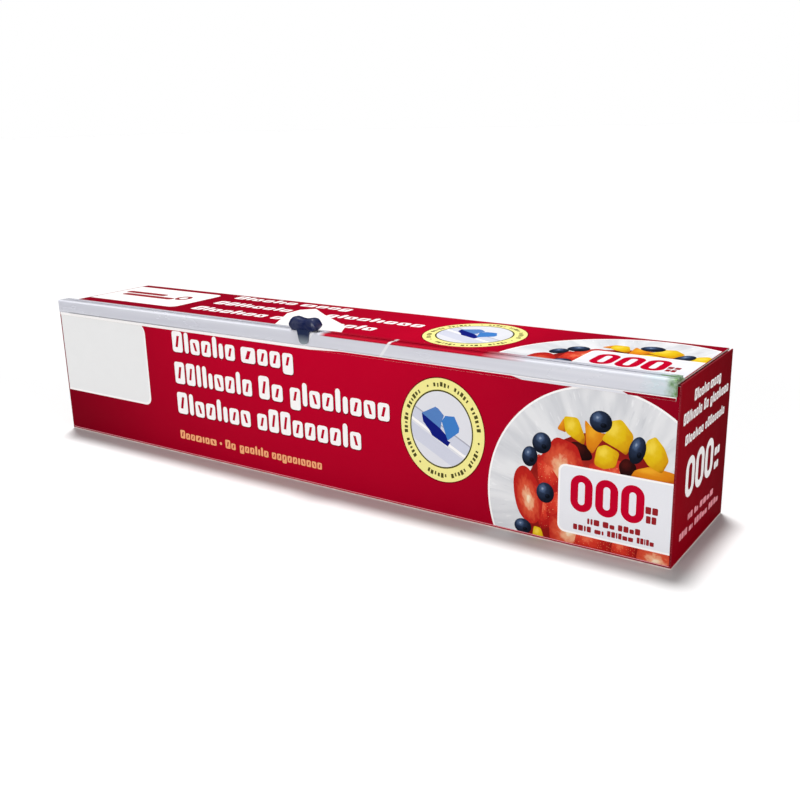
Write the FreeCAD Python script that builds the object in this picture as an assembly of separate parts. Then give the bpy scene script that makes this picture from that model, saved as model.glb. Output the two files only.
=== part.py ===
import FreeCAD, Part
import math
import os

# Cling film dispenser: a folded paperboard carton with a hinged lid, a clear plastic
# cutter rail bonded over the lid's front edge, a slide cutter that runs along the rail,
# and a roll of film on a paper core lying inside.
#
# Frame: millimetres, origin at the centre of the carton's underside, +X to the right
# along the carton, -Y towards the front (where the film comes out), +Z up.

# Driving dimensions -------------------------------------------------------------------

CARTON_LENGTH = 305.0
CARTON_DEPTH = 56.0
CARTON_HEIGHT = 63.5
BOARD = 0.45                 # paperboard thickness

GLUE_LINE = 0.10             # glue between an end panel and its dust flaps
TAPE = 0.10                  # double-sided tape under the rail
FILM_GAP = 0.30              # gap that the film leaves through, behind the lip
LID_END_GAP = 0.90           # lid edge to end panel, each end
LID_SEAT_GAP = 0.45          # lid underside to the top of the front panel

LIP_DROP = 5.6               # lip's lower edge, below the lid's top face
RAIL_DROP = 4.0              # rail's lower edge, below the lid's top face
RAIL_LEFT_INSET = 2.0        # rail ends short of the carton's ends
RAIL_RIGHT_INSET = 1.0
RAIL_RISE = 1.8              # top of the track above the tape
RAIL_FLANGE_DEPTH = 8.2      # top flange, front to back
RAIL_FLOOR = 0.50            # thickness of the top flange
RAIL_WALL = 0.40             # thickness of the two walls of the keel channel
TRACK_DEPTH = 6.25           # track block, front to back
TRACK_BACK_WALL = 0.60
TRACK_LIP = 0.60             # thickness of the two lips that hold the shoe down
CHANNEL_WIDTH = 0.60         # channel in the rail's nose, for the keel
CHANNEL_DEPTH = 4.0          # channel's bottom below the cavity's floor
SLOT_FRONT = 2.65            # slot's front edge behind the nose
SLOT_WIDTH = 1.50
STOP_LENGTH = 6.0            # end plugs in the track
PLUG_GAP = 0.05

SLIDER_X = 2.0               # slide cutter at rest
SLIDER_HALF_SHOE = 5.0
SLIDER_STOP_GAP = 0.20
SHOE_GAP = 0.10              # shoe and stem to the track
KEEL_GAP = 0.07              # keel to its channel
KEEL_HALF_WIDTH = 3.7
GRIP_LIFT = 0.25             # grip underside above the track
GRIP_HEIGHT = 5.15
GRIP_HALF_LENGTH = 6.8
GRIP_HALF_DEPTH = 3.3
GRIP_HALF_WAIST = 2.6
GRIP_FORWARD = 1.35          # middle of the grip ahead of the slot
GRIP_SKIRT = 0.75            # grip's front edge below its underside, ahead of the rail
LEG_THICKNESS = 0.55         # leg that hangs from the grip in front of the rail's nose
STEM_HALF_LENGTH = 3.6
BLADE_THICKNESS = 0.30
BLADE_HALF_LENGTH = 4.9
BLADE_HEIGHT = 2.0

EAR_LENGTH = 14.0
FILM_WIDTH = 292.0
FILM_LENGTH = 79600.0
FILM_THICKNESS = 0.011
CORE_LENGTH = 298.0
CORE_RADIUS = 17.0
CORE_WALL = 1.6
TAB_THICKNESS = 0.12
ROLL_REST_GAP = 0.35

# Derived positions --------------------------------------------------------------------

END_X = CARTON_LENGTH / 2
FRONT_Y = -CARTON_DEPTH / 2
BACK_Y = CARTON_DEPTH / 2
LID_TOP = CARTON_HEIGHT
LID_UNDER = LID_TOP - BOARD

END_INNER = END_X - BOARD
FLAP_OUTER = END_INNER - GLUE_LINE
FLAP_INNER = FLAP_OUTER - BOARD
LID_X = END_INNER - LID_END_GAP
FRONT_TOP = LID_UNDER - LID_SEAT_GAP
HINGE_Y = BACK_Y - BOARD
HINGE_Z = LID_UNDER

LIP_INNER_Y = FRONT_Y - FILM_GAP
LIP_OUTER_Y = LIP_INNER_Y - BOARD
RAIL_INNER_Y = LIP_OUTER_Y - TAPE
NOSE_Y = RAIL_INNER_Y - 2 * RAIL_WALL - CHANNEL_WIDTH
RAIL_UNDER = LID_TOP + TAPE
RAIL_TOP = RAIL_UNDER + RAIL_RISE
RAIL_BOTTOM = LID_TOP - RAIL_DROP
RAIL_LEFT = -END_X + RAIL_LEFT_INSET
RAIL_RIGHT = END_X - RAIL_RIGHT_INSET
CAVITY_FLOOR = RAIL_UNDER + RAIL_FLOOR
CAVITY_ROOF = RAIL_TOP - TRACK_LIP
CAVITY_FRONT = NOSE_Y + RAIL_WALL
CAVITY_BACK = NOSE_Y + TRACK_DEPTH - TRACK_BACK_WALL
CHANNEL_BOTTOM = CAVITY_FLOOR - CHANNEL_DEPTH
SLOT_Y0 = NOSE_Y + SLOT_FRONT
SLOT_Y1 = SLOT_Y0 + SLOT_WIDTH
SLOT_MID = (SLOT_Y0 + SLOT_Y1) / 2

SLIDER_END_ROOM = STOP_LENGTH + SLIDER_HALF_SHOE + SLIDER_STOP_GAP
SLIDER_LEFTMOST = RAIL_LEFT + SLIDER_END_ROOM
SLIDER_RIGHTMOST = RAIL_RIGHT - SLIDER_END_ROOM
GRIP_MID = SLOT_MID - GRIP_FORWARD
GRIP_UNDER = RAIL_TOP + GRIP_LIFT
SHOE_TOP = CAVITY_ROOF - SHOE_GAP

FILM_RADIUS = math.sqrt(CORE_RADIUS ** 2 + FILM_LENGTH * FILM_THICKNESS / math.pi)
ROLL_Z = BOARD + ROLL_REST_GAP + FILM_RADIUS + TAB_THICKNESS

# Shape helpers ------------------------------------------------------------------------


def box(x, y, z):
    """Box between the two values of each of x, y and z."""
    size = [high - low for low, high in (x, y, z)]
    return Part.makeBox(*size, FreeCAD.Vector(x[0], y[0], z[0]))


def outline(points):
    """Closed face through a list of points."""
    corners = [FreeCAD.Vector(*point) for point in points]
    return Part.Face(Part.makePolygon(corners + corners[:1]))


def plate_x(points, x0, x1):
    """Outline of (y, z) points, thickened from x0 to x1."""
    face = outline([(x0, y, z) for y, z in points])
    return face.extrude(FreeCAD.Vector(x1 - x0, 0, 0))


def arc_face(arcs):
    """Closed face from a chain of edges, each given by 2 points or by 3 for an arc."""
    edges = []
    for points in arcs:
        ends = [FreeCAD.Vector(*point) for point in points]
        curve = Part.LineSegment(*ends) if len(ends) == 2 else Part.Arc(*ends)
        edges.append(curve.toShape())
    return Part.Face(Part.Wire(edges))


def tube_x(outer, inner, half_length, z):
    """Tube about a line along X at height z."""
    start = FreeCAD.Vector(-half_length, 0, z)
    along = FreeCAD.Vector(1, 0, 0)
    wall = Part.makeCylinder(outer, 2 * half_length, start, along)
    return wall.cut(Part.makeCylinder(inner, 2 * half_length, start, along))


def mirror_x(shape):
    """The same piece at the other end of the carton."""
    return shape.mirror(FreeCAD.Vector(0, 0, 0), FreeCAD.Vector(1, 0, 0))


def round_long_edges(solid, corners, radius):
    """Round the edges along X that pass through the given (y, z) corners."""
    picked = []
    for edge in solid.Edges:
        box_of_edge = edge.BoundBox
        if box_of_edge.XLength < 1.0:
            continue
        for y, z in corners:
            if abs(box_of_edge.YMin - y) < 1e-3 and abs(box_of_edge.ZMin - z) < 1e-3:
                picked.append(edge)
    return solid.makeFillet(radius, picked)


# Tray: the fixed part of the folded carton --------------------------------------------


def make_tray():
    """Base, front, back, inner flap and the glued ends."""
    shapes = {}
    across = (-END_INNER, END_INNER)
    shapes["base_panel"] = box((-END_X, END_X), (FRONT_Y, BACK_Y), (0, BOARD))
    shapes["front_panel"] = box(across, (FRONT_Y, FRONT_Y + BOARD), (BOARD, FRONT_TOP))
    back_top = HINGE_Z - BOARD - 0.35
    shapes["back_panel"] = box(across, (BACK_Y - BOARD, BACK_Y), (BOARD, back_top))

    # The front panel's upper edge is doubled by a flap folded down inside it.
    inner_flap_drop = 12.0
    inner_y = FRONT_Y + BOARD
    flap_x = FLAP_INNER - 1.0
    shapes["front_inner_flap"] = plate_x(
        [(inner_y, FRONT_TOP), (inner_y + BOARD, FRONT_TOP),
         (inner_y + BOARD, FRONT_TOP - inner_flap_drop), (inner_y, FRONT_TOP - inner_flap_drop)],
        -flap_x, flap_x)

    end_top = LID_TOP - 0.2
    end_panel = box((END_INNER, END_X), (FRONT_Y, BACK_Y), (BOARD, end_top))
    shapes["right_end_panel"] = end_panel
    shapes["left_end_panel"] = mirror_x(end_panel)

    for side, flap in make_dust_flaps().items():
        shapes["right_%s_dust_flap" % side] = flap
        shapes["left_%s_dust_flap" % side] = mirror_x(flap)

    beads = make_glue_beads()
    shapes["right_glue_beads"] = beads
    shapes["left_glue_beads"] = mirror_x(beads)
    return shapes


def make_dust_flaps():
    """Flaps folded in from the front and back panels, behind the right end panel."""
    width = 24.0
    taper = 3.0
    low = BOARD + 0.1
    high = FRONT_TOP - 0.3
    flaps = {}
    for side, edge, inward in (("front", FRONT_Y + BOARD, 1), ("back", BACK_Y - BOARD, -1)):
        free = edge + inward * width
        points = [(edge, low), (free, low + taper), (free, high - taper), (edge, high)]
        flaps[side] = plate_x(points, FLAP_INNER, FLAP_OUTER)
    return flaps


def make_glue_beads():
    """Four upright glue lines between the right end panel and its dust flaps."""
    bead_width = 3.0
    beads = []
    for y in (-22.0, -10.0, 10.0, 22.0):
        across = (y - bead_width / 2, y + bead_width / 2)
        beads.append(box((FLAP_OUTER, END_INNER), across, (8.0, 54.0)))
    return Part.makeCompound(beads)


# Lid ----------------------------------------------------------------------------------


def make_lid():
    """Lid panel, the lip that hangs over the front, the hinge crease and the tapes."""
    shapes = {}
    across = (-LID_X, LID_X)
    shapes["lid_panel"] = box(across, (LIP_OUTER_Y, HINGE_Y), (LID_UNDER, LID_TOP))
    lip_z = (LID_TOP - LIP_DROP, LID_UNDER)
    shapes["lid_front_lip"] = box(across, (LIP_OUTER_Y, LIP_INNER_Y), lip_z)

    # The crease rolls round the hinge line, so the fold is the same at every angle.
    start = FreeCAD.Vector(-LID_X, HINGE_Y, HINGE_Z)
    roll = Part.makeCylinder(BOARD, 2 * LID_X, start, FreeCAD.Vector(1, 0, 0))
    shapes["lid_crease"] = roll.cut(shapes["lid_panel"])

    tape_x = (-LID_X + 1.0, LID_X - 1.0)
    rear = NOSE_Y + RAIL_FLANGE_DEPTH - 0.4
    shapes["lid_tape"] = box(tape_x, (LIP_OUTER_Y + 0.3, rear), (LID_TOP, RAIL_UNDER))
    tape_z = (RAIL_BOTTOM + 0.4, LID_TOP - 0.3)
    shapes["lip_tape"] = box(tape_x, (RAIL_INNER_Y, LIP_OUTER_Y), tape_z)
    return shapes


def make_ear():
    """Right-hand ear: folds down from the lid's end, inside the dust flaps."""
    top = HINGE_Z - 0.1
    low = top - EAR_LENGTH
    # Its front corner is cut back so that it clears the front panel as the lid swings.
    points = [(-26.0, top), (-26.0, top - 3.0), (-17.0, low), (20.0, low), (26.0, top - 3.0),
              (26.0, top)]
    return plate_x(points, LID_X - BOARD, LID_X)


# Cutter rail --------------------------------------------------------------------------


def rail_envelope():
    """The rail's overall block, rounded at its free left end."""
    length = (RAIL_LEFT, RAIL_RIGHT)
    block = box(length, (NOSE_Y, NOSE_Y + RAIL_FLANGE_DEPTH), (RAIL_BOTTOM, RAIL_TOP))
    end_edges = [edge for edge in block.Edges
                 if edge.BoundBox.XMax < RAIL_LEFT + 0.01 and edge.BoundBox.YMin < NOSE_Y + 0.01]
    return block.makeFillet(1.4, end_edges)


def rail_cavity(gap):
    """The hollow of the track, less a gap all round: cavity, nose channel and slot."""
    length = (RAIL_LEFT - 1.0, RAIL_RIGHT + 1.0)
    cavity = box(length, (CAVITY_FRONT + gap, CAVITY_BACK - gap),
                 (CAVITY_FLOOR + gap, CAVITY_ROOF - gap))
    channel = box(length, (CAVITY_FRONT + gap, CAVITY_FRONT + CHANNEL_WIDTH - gap),
                  (CHANNEL_BOTTOM + gap, CAVITY_FLOOR + gap))
    slot = box(length, (SLOT_Y0 + gap, SLOT_Y1 - gap), (CAVITY_ROOF - gap, RAIL_TOP + 1.0))
    return cavity.fuse([channel, slot]).removeSplitter()


def make_rail():
    """Clear profile with a track on top and a channel in its nose, and its end plugs."""
    flange_top = RAIL_UNDER + RAIL_FLOOR
    track_back = NOSE_Y + TRACK_DEPTH
    profile = plate_x(
        [(NOSE_Y, RAIL_BOTTOM), (RAIL_INNER_Y, RAIL_BOTTOM), (RAIL_INNER_Y, RAIL_UNDER),
         (NOSE_Y + RAIL_FLANGE_DEPTH, RAIL_UNDER), (NOSE_Y + RAIL_FLANGE_DEPTH, flange_top),
         (track_back, flange_top), (track_back, RAIL_TOP), (NOSE_Y, RAIL_TOP)],
        RAIL_LEFT, RAIL_RIGHT)
    profile = round_long_edges(profile, [(NOSE_Y, RAIL_TOP)], 0.75)
    profile = round_long_edges(profile, [(NOSE_Y, RAIL_BOTTOM), (track_back, RAIL_TOP)], 0.35)
    envelope = rail_envelope()
    shapes = {"cutter_rail": profile.cut(rail_cavity(0)).common(envelope)}

    plug = rail_cavity(PLUG_GAP).common(envelope)
    tall = (RAIL_BOTTOM, RAIL_TOP)
    deep = (NOSE_Y, NOSE_Y + TRACK_DEPTH)
    shapes["rail_stop_left"] = plug.common(box((RAIL_LEFT, RAIL_LEFT + STOP_LENGTH), deep, tall))
    shapes["rail_stop_right"] = plug.common(box((RAIL_RIGHT - STOP_LENGTH, RAIL_RIGHT), deep, tall))
    return shapes


# Slide cutter -------------------------------------------------------------------------


def make_slider():
    """Thumb grip with its stem, the shoe that runs in the track, and the blade."""
    blade_low = CAVITY_ROOF + 0.1
    blade = box((-BLADE_HALF_LENGTH, BLADE_HALF_LENGTH),
                (SLOT_MID - BLADE_THICKNESS / 2, SLOT_MID + BLADE_THICKNESS / 2),
                (blade_low, blade_low + BLADE_HEIGHT))

    stem = box((-STEM_HALF_LENGTH, STEM_HALF_LENGTH), (SLOT_Y0 + SHOE_GAP, SLOT_Y1 - SHOE_GAP),
               (SHOE_TOP, GRIP_UNDER))
    grip = make_grip().fuse(stem).removeSplitter().cut(blade)

    shapes = {"slider_grip": grip, "slider_shoe": make_shoe(), "slider_blade": blade}
    for shape in shapes.values():
        shape.translate(FreeCAD.Vector(SLIDER_X, 0, 0))
    return shapes


def make_grip():
    """Saddle-shaped grip: a side profile with two raised ends, narrowed at the waist.

    Its front edge hangs a little way down ahead of the rail's nose, and a leg hangs lower.
    """
    tip = GRIP_HALF_LENGTH
    peak = GRIP_HEIGHT
    foot = -GRIP_SKIRT
    side = []
    for points in (
            [(-0.80 * tip, foot), (-tip, 0.40 * peak), (-0.84 * tip, 0.86 * peak)],
            [(-0.84 * tip, 0.86 * peak), (-0.70 * tip, peak), (-0.55 * tip, 0.95 * peak)],
            [(-0.55 * tip, 0.95 * peak), (0, 0.76 * peak), (0.55 * tip, 0.95 * peak)],
            [(0.55 * tip, 0.95 * peak), (0.70 * tip, peak), (0.84 * tip, 0.86 * peak)],
            [(0.84 * tip, 0.86 * peak), (tip, 0.40 * peak), (0.80 * tip, foot)],
            [(0.80 * tip, foot), (-0.80 * tip, foot)]):
        side.append([(x, GRIP_MID - 2 * GRIP_HALF_DEPTH, GRIP_UNDER + z) for x, z in points])
    body = arc_face(side).extrude(FreeCAD.Vector(0, 4 * GRIP_HALF_DEPTH, 0))

    corner = tip + 1.0
    plan = []
    for points in (
            [(-corner, -GRIP_HALF_DEPTH), (0, -GRIP_HALF_WAIST), (corner, -GRIP_HALF_DEPTH)],
            [(corner, -GRIP_HALF_DEPTH), (corner, GRIP_HALF_DEPTH)],
            [(corner, GRIP_HALF_DEPTH), (0, GRIP_HALF_WAIST), (-corner, GRIP_HALF_DEPTH)],
            [(-corner, GRIP_HALF_DEPTH), (-corner, -GRIP_HALF_DEPTH)]):
        plan.append([(x, GRIP_MID + y, GRIP_UNDER - 1.0) for x, y in points])
    waist = arc_face(plan).extrude(FreeCAD.Vector(0, 0, GRIP_HEIGHT + 2.0))
    over_rail = box((-corner, corner), (NOSE_Y - GRIP_LIFT, BACK_Y),
                    (GRIP_UNDER - 2.0, GRIP_UNDER))
    leg_back = NOSE_Y - GRIP_LIFT
    leg = tongue(KEEL_HALF_WIDTH, (leg_back - LEG_THICKNESS, leg_back), GRIP_UNDER + 0.5)
    return body.common(waist).fuse(leg).cut(over_rail).removeSplitter()


def tongue(half_width, y, top):
    """Flat tongue with a rounded lower end, as deep as the keel channel."""
    low = CHANNEL_BOTTOM + 0.2
    shoulder = low + 1.6
    face = arc_face([
        [(-half_width, y[0], shoulder), (0, y[0], low), (half_width, y[0], shoulder)],
        [(half_width, y[0], shoulder), (half_width, y[0], top)],
        [(half_width, y[0], top), (-half_width, y[0], top)],
        [(-half_width, y[0], top), (-half_width, y[0], shoulder)]])
    return face.extrude(FreeCAD.Vector(0, y[1] - y[0], 0))


def make_shoe():
    """Shoe held under the track's lips, with a keel that hangs in the nose channel."""
    front = CAVITY_FRONT + KEEL_GAP
    keel_back = CAVITY_FRONT + CHANNEL_WIDTH - KEEL_GAP
    shoe_low = CAVITY_FLOOR + SHOE_GAP
    shoe = box((-SLIDER_HALF_SHOE, SLIDER_HALF_SHOE), (front, CAVITY_BACK - SHOE_GAP),
               (shoe_low, SHOE_TOP))
    keel = tongue(KEEL_HALF_WIDTH, (front, keel_back), SHOE_TOP)
    return shoe.fuse(keel).removeSplitter()


# Film roll ----------------------------------------------------------------------------


def make_roll():
    """Paper core, the wound film, and the tab that holds the film's free end."""
    core = tube_x(CORE_RADIUS, CORE_RADIUS - CORE_WALL, CORE_LENGTH / 2, ROLL_Z)
    film = tube_x(FILM_RADIUS, CORE_RADIUS + 0.02, FILM_WIDTH / 2, ROLL_Z)

    tab_half_width = 14.0
    tab_degrees = 46.0
    tab_start = 12.0         # degrees from straight up, towards the front
    ring = tube_x(FILM_RADIUS + TAB_THICKNESS, FILM_RADIUS, tab_half_width, ROLL_Z)
    wedge = Part.makeCylinder(FILM_RADIUS + 1, 2 * tab_half_width,
                              FreeCAD.Vector(-tab_half_width, 0, ROLL_Z),
                              FreeCAD.Vector(1, 0, 0), tab_degrees)
    wedge.rotate(FreeCAD.Vector(0, 0, ROLL_Z), FreeCAD.Vector(1, 0, 0), tab_start)
    return {"roll_core": core, "film_roll": film, "start_tab": ring.common(wedge)}


# Build and write ----------------------------------------------------------------------


def build():
    """Every node of the dispenser, by name."""
    shapes = make_tray()
    shapes.update(make_lid())
    shapes.update(make_rail())
    shapes["right_ear"] = make_ear()
    shapes["left_ear"] = mirror_x(shapes["right_ear"])
    shapes.update(make_slider())
    shapes.update(make_roll())
    return shapes


os.makedirs("parts", exist_ok=True)
for name, shape in build().items():
    shape.exportStep("parts/%s.step" % name)
    size = shape.BoundBox
    print("%-24s solids %d  x %.2f %.2f  y %.2f %.2f  z %.2f %.2f  volume %.1f" % (
        name, len(shape.Solids), size.XMin, size.XMax, size.YMin, size.YMax,
        size.ZMin, size.ZMax, shape.Volume))
print("lid hinge y %.3f z %.3f, ear hinges x %.3f z %.3f" % (
    HINGE_Y, HINGE_Z, LID_X - BOARD, HINGE_Z - 0.1))
print("slider x %.3f at rest, %.3f to %.3f" % (SLIDER_X, SLIDER_LEFTMOST, SLIDER_RIGHTMOST))
print("roll axis z %.3f, film radius %.3f" % (ROLL_Z, FILM_RADIUS))
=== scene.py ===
import math
from collections import namedtuple

import bmesh
import bpy
from mathutils import Matrix, Quaternion, Vector
from mathutils.geometry import delaunay_2d_cdt


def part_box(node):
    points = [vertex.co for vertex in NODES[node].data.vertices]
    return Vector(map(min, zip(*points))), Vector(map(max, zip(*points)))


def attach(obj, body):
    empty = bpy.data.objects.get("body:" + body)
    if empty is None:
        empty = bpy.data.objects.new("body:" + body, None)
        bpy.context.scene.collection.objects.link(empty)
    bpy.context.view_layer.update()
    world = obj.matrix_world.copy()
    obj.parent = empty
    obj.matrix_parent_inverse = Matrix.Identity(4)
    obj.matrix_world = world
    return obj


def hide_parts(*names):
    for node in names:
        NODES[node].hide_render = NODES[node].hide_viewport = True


# Looks for a cling film dispenser: a printed paperboard carton with a hinged lid, a clear
# cutter rail with a slide cutter, and a roll of film. Everything is in metres; artwork is
# laid out in millimetres on each side of the carton and scaled by MM.

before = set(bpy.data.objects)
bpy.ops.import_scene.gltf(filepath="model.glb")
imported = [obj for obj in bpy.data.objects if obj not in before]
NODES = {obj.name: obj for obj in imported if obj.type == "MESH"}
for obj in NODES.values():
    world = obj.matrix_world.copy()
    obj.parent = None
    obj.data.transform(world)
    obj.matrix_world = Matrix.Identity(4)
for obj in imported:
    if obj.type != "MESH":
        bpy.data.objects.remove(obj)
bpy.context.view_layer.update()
MM = 0.001

# Camera: at the height of a seated viewer, to the front right of the carton 

CAMERA_AT = (242.72 * MM, -315.25 * MM, 144.45 * MM)
CAMERA_AZIMUTH = 34.403
CAMERA_ELEVATION = 16.240
CAMERA_ROLL = -1.349
CAMERA_LENS = 43.26


def new_object(name, data):
    made = bpy.data.objects.new(name, data)
    bpy.context.scene.collection.objects.link(made)
    return made


def make_camera():
    """Camera that looks where the azimuth and elevation point, turned a little by its roll."""
    azimuth = math.radians(CAMERA_AZIMUTH)
    elevation = math.radians(CAMERA_ELEVATION)
    ahead = Vector((-math.sin(azimuth) * math.cos(elevation),
                    math.cos(azimuth) * math.cos(elevation),
                    -math.sin(elevation)))
    camera = new_object("camera", bpy.data.cameras.new("camera"))
    camera.data.lens = CAMERA_LENS
    camera.data.sensor_width = 36.0
    camera.location = CAMERA_AT
    camera.rotation_mode = "QUATERNION"
    roll = Quaternion((0, 0, 1), math.radians(CAMERA_ROLL))
    camera.rotation_quaternion = ahead.to_track_quat("-Z", "Y") @ roll
    bpy.context.scene.camera = camera


make_camera()

# Sizes read from the frame ---------------------------------------------

CARTON_LOW, CARTON_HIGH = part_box("base_panel")
LID_LOW, LID_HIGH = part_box("lid_panel")
CARTON_HIGH.z = LID_HIGH.z
RAIL_LOW, RAIL_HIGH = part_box("cutter_rail")
GRIP_LOW, GRIP_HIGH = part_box("slider_grip")
ROLL_LOW, ROLL_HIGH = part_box("film_roll")
ROLL_AXIS = (ROLL_LOW.z + ROLL_HIGH.z) / 2

# In millimetres, as the artwork is:
LENGTH = (CARTON_HIGH.x - CARTON_LOW.x) / MM
BOARD = (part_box("base_panel")[1].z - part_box("base_panel")[0].z) / MM
FOLD_RADIUS = 0.40
EDGE_EASE = 0.05
INK_LIFT = 0.02

# Material helpers ------------------------------------------------------


class Nodes:
    """Adds shader nodes to a tree: node() adds one, and the other calls are common patterns."""

    def __init__(self, tree):
        self.tree = tree

    def node(self, kind, inputs=None, **settings):
        made = self.tree.nodes.new("ShaderNode" + kind)
        for key, value in settings.items():
            setattr(made, key, value)
        for key, value in (inputs or {}).items():
            self.put(made.inputs[key], value)
        return made

    def put(self, socket, value):
        if isinstance(value, bpy.types.NodeSocket):
            self.tree.links.new(value, socket)
        else:
            socket.default_value = value

    def place(self, stretch=(1, 1, 1)):
        where = self.node("TexCoord").outputs["Object"]
        return self.node("Mapping", {"Vector": where, "Scale": stretch}).outputs[0]

    def axes(self, place=None):
        """X, Y and Z of a place, as three values."""
        return self.node("SeparateXYZ", {0: place or self.place()}).outputs[:]

    def noise(self, scale, detail=2.0, stretch=(1, 1, 1), place=None, distortion=0.0):
        made = self.node("TexNoise", {"Vector": place or self.place(stretch), "Scale": scale,
                                      "Detail": detail, "Distortion": distortion})
        return made.outputs["Fac"]

    def math(self, operation, first, second=0.0, third=0.0):
        made = self.node("Math", {0: first, 1: second, 2: third}, operation=operation)
        return made.outputs[0]

    def times(self, first, second):
        return self.math("MULTIPLY", first, second)

    def span(self, value, low, high, to_low=0.0, to_high=1.0):
        made = self.node("MapRange", {"Value": value, "From Min": low, "From Max": high,
                                      "To Min": to_low, "To Max": to_high})
        return made.outputs[0]

    def spots(self, scale, low, high, place=None, level=1.0):
        """Round spots of a level that fades out between two distances from their middles."""
        made = self.node("TexVoronoi", {"Vector": place or self.place(), "Scale": scale})
        return self.span(made.outputs["Distance"], low, high, level, 0.0)

    def mix(self, factor, first, second, blend="MIX"):
        made = self.node("Mix", data_type="RGBA", blend_type=blend)
        for index, value in ((0, factor), (6, first), (7, second)):
            self.put(made.inputs[index], value)
        return made.outputs[2]

    def blend(self, value, low, high, first, second, least=0.0, most=1.0):
        """The second colour over the first, by a share that follows a value from low to high."""
        return self.mix(self.span(value, low, high, least, most), first, second)

    def ramp(self, factor, stops, ease="EASE"):
        made = self.node("ValToRGB", {"Fac": factor})
        made.color_ramp.interpolation = ease
        spots = made.color_ramp.elements
        while len(spots) < len(stops):
            spots.new(1.0)
        for spot, (position, colour) in zip(spots, stops):
            spot.position = position
            spot.color = colour
        return made.outputs["Color"]


class Maker(Nodes):
    """Builds one material around its main shader."""

    def __init__(self, name):
        self.material = bpy.data.materials.new(name)
        self.material.use_nodes = True
        super().__init__(self.material.node_tree)
        self.shader = self.tree.nodes["Principled BSDF"]

    def shade(self, **values):
        """Sets the shader's sockets: base_color=..., roughness=... and so on."""
        for key, value in values.items():
            name = key.replace("_", " ").title().replace("Ior", "IOR")
            self.put(self.shader.inputs[name], value)

    def bump(self, *heights):
        """Adds up (height, depth in metres, strength) layers of surface relief."""
        normal = None
        for height, depth, strength in heights:
            inputs = {"Height": height, "Distance": depth, "Strength": strength}
            if normal is not None:
                inputs["Normal"] = normal
            normal = self.node("Bump", inputs).outputs[0]
        self.put(self.shader.inputs["Normal"], normal)


def material(build):
    """Turns a function that shades a maker into one that returns a new, named material."""
    def make(name, *settings, **choices):
        maker = Maker(name)
        build(maker, *settings, **choices)
        return maker.material
    return make


def rgb(red, green, blue):
    """Linear colour from 0-255 screen values."""
    linear = []
    for value in (red, green, blue):
        part = value / 255
        linear.append(part / 12.92 if part <= 0.04045 else ((part + 0.055) / 1.055) ** 2.4)
    return (*linear, 1.0)


def darker(colour, share):
    return (*[part * share for part in colour[:3]], 1.0)


def lighter(colour, share):
    return (*[part + (1 - part) * share for part in colour[:3]], 1.0)


# Board and ink ---------------------------------------------------------


INK_SHINE = 0.03
BLACK = (0.0, 0.0, 0.0, 1.0)


def shade_ink(maker, base, roughness):
    """Ink under varnish, over the fine fibre and the slow waves of a long folded panel."""
    maker.shade(base_color=base, roughness=roughness, specular_ior_level=INK_SHINE)
    fine = maker.noise(3200, 3)
    slow = maker.noise(22, 1, stretch=(0.5, 1, 1))
    maker.bump((slow, 0.0010, 0.2), (fine, 0.00003, 0.5))


@material
def printed(maker, colour, mottle):
    """Plain ink: slight unevenness of the ink and of the gloss."""
    blotch = maker.noise(140, 4)
    uneven = maker.math("MULTIPLY_ADD", maker.noise(2600, 2), 0.6, maker.times(blotch, 0.4))
    shade_ink(maker, maker.blend(uneven, 0.35, 0.68, darker(colour, 1 - mottle), colour),
              maker.span(blotch, 0.3, 0.7, 0.29, 0.41))


@material
def painted_shading_ink(maker, colour, axis, stops, height_shade=None):
    """Red with painted light and shade: its share of the full colour follows one axis, and
    optionally it is also darker low down and brighter high up.

    stops are (place in metres, share of the full colour) along the axis.
    """
    where = dict(zip("XYZ", maker.axes()))
    first = stops[0][0]
    last = stops[-1][0]
    colours = [((place - first) / (last - first), darker(colour, share)) for place, share in stops]
    # Painted light and shade along the axis, by the stops.
    painted_shading = maker.ramp(maker.span(where[axis], first, last), colours, "LINEAR")
    # Painted shade with height: darker at the foot of the carton, brighter towards its top.
    if height_shade is not None:
        share = maker.span(where["Z"], 0.0, CARTON_HIGH.z, *height_shade)
        level = maker.node("CombineColor", {0: share, 1: share, 2: share}).outputs[0]
        painted_shading = maker.mix(1.0, painted_shading, level, "MULTIPLY")
    grain = maker.span(maker.noise(2600, 3), 0.3, 0.7)
    shade_ink(maker, maker.mix(maker.times(grain, 0.06), painted_shading, BLACK),
              maker.span(maker.noise(140, 4), 0.3, 0.7, 0.30, 0.42))


@material
def worn_fold(maker, colour):
    """Ink that has cracked a little along a fold, with the pale board showing through."""
    worn = maker.span(maker.noise(900, 5, stretch=(0.6, 1, 1)), 0.50, 0.70)
    patches = maker.span(maker.noise(60, 2), 0.35, 0.65, 0.25, 1.0)
    base = maker.mix(maker.times(worn, patches), lighter(colour, 0.04), rgb(232, 196, 190))
    shade_ink(maker, base, 0.5)


@material
def raw_board(maker, colour):
    """Uncoated inside of the board: short fibres and a few darker flecks."""
    fibres = maker.noise(900, 4, stretch=(0.25, 1, 1), distortion=0.6)
    base = maker.blend(fibres, 0.3, 0.7, darker(colour, 0.86), lighter(colour, 0.10))
    base = maker.blend(maker.noise(70, 3), 0.3, 0.7, base, darker(colour, 0.80), 0.0, 0.25)
    flecks = maker.spots(620.0, 0.05, 0.16, maker.place((0.6, 1, 1)))
    base = maker.mix(maker.times(flecks, 0.35), base, rgb(118, 100, 84))
    maker.shade(base_color=base, roughness=0.86, specular_ior_level=0.2)
    maker.bump((fibres, 0.00006, 0.6))


@material
def cut_edge(maker, pale, dark):
    """Die-cut edge of the board: fine layers between a pale and a darker tone."""
    layers = maker.noise(5200, 2, stretch=(0.08, 1, 1))
    maker.shade(base_color=maker.blend(layers, 0.35, 0.65, pale, dark), roughness=0.85,
                specular_ior_level=0.2)
    maker.bump((layers, 0.00005, 0.5))


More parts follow.
